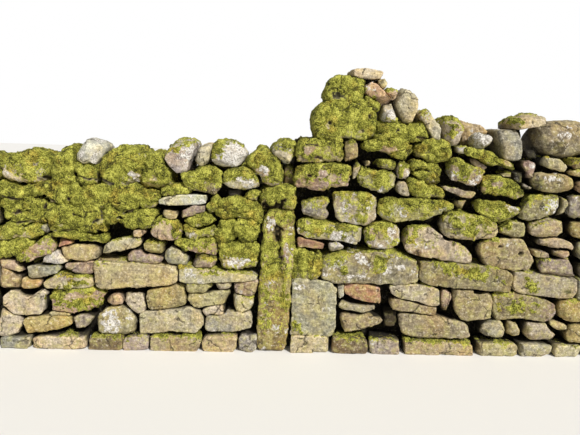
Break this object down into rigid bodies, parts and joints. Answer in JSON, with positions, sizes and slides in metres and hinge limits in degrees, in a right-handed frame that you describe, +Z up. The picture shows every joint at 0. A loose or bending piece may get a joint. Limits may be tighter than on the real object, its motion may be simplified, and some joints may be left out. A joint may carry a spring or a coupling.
{
  "type": "dry stone wall with an upright stoop",
  "caption": "Double-faced dry stone wall with battered sides, throughs, hearting and boulder copes: a low stretch, an upright stoop and a higher stretch with a peak.",
  "frame": {"origin": "at ground level under the middle of the wall's thickness, at the foot of the stoop", "axes": "+X along the wall to the right as seen from its front, +Y from the front face into the wall, +Z up"},
  "size_m": [4.65, 0.7582, 1.879],
  "materials": {
    "hearting_stone": "rough, damp and dark",
    "footing_stone": "rough, mossy near the ground",
    "through_stone": "rough split gritstone with moss on its ledges",
    "stoop_stone": "rough gritstone under moss and lichen",
    "pale_slab_stone": "speckled with pale lichen",
    "walling_stone": "rough split gritstone with moss and lichen",
    "cope_stone": "weathered boulders under moss and white lichen"
  },
  "bodies": {
    "root": {"back_footings": "footing_stone", "block_cope": "cope_stone", "flat_cope": "cope_stone", "front_footings": "footing_stone", "ledge_stone": "cope_stone", "left_high_copes": "cope_stone", "left_low_copes": "cope_stone", "left_lower_back": "walling_stone", "left_lower_front": "walling_stone", "left_lower_hearting": "hearting_stone", "left_through_filling": "hearting_stone", "left_throughs": "through_stone", "left_upper_back": "walling_stone", "left_upper_front": "walling_stone", "left_upper_hearting": "hearting_stone", "mossy_cope": "cope_stone", "packing_stone": "hearting_stone", "pale_cope": "cope_stone", "pale_slab": "pale_slab_stone", "peak_block": "cope_stone", "peak_cap": "cope_stone", "peak_leaning_stone": "cope_stone", "peak_props": "cope_stone", "peak_upper_block": "cope_stone", "peak_wedge": "cope_stone", "right_end_copes": "cope_stone", "right_lower_back": "walling_stone", "right_lower_front": "walling_stone", "right_lower_hearting": "hearting_stone", "right_middle_back": "walling_stone", "right_middle_front": "walling_stone", "right_tall_copes": "cope_stone", "right_throughs": "through_stone", "right_upper_back": "walling_stone", "right_upper_front": "walling_stone", "right_upper_hearting": "hearting_stone", "stoop": "stoop_stone", "stoop_head_stone": "stoop_stone", "stoop_packing": "hearting_stone", "white_cope": "cope_stone"}
  },
  "joints": []
}
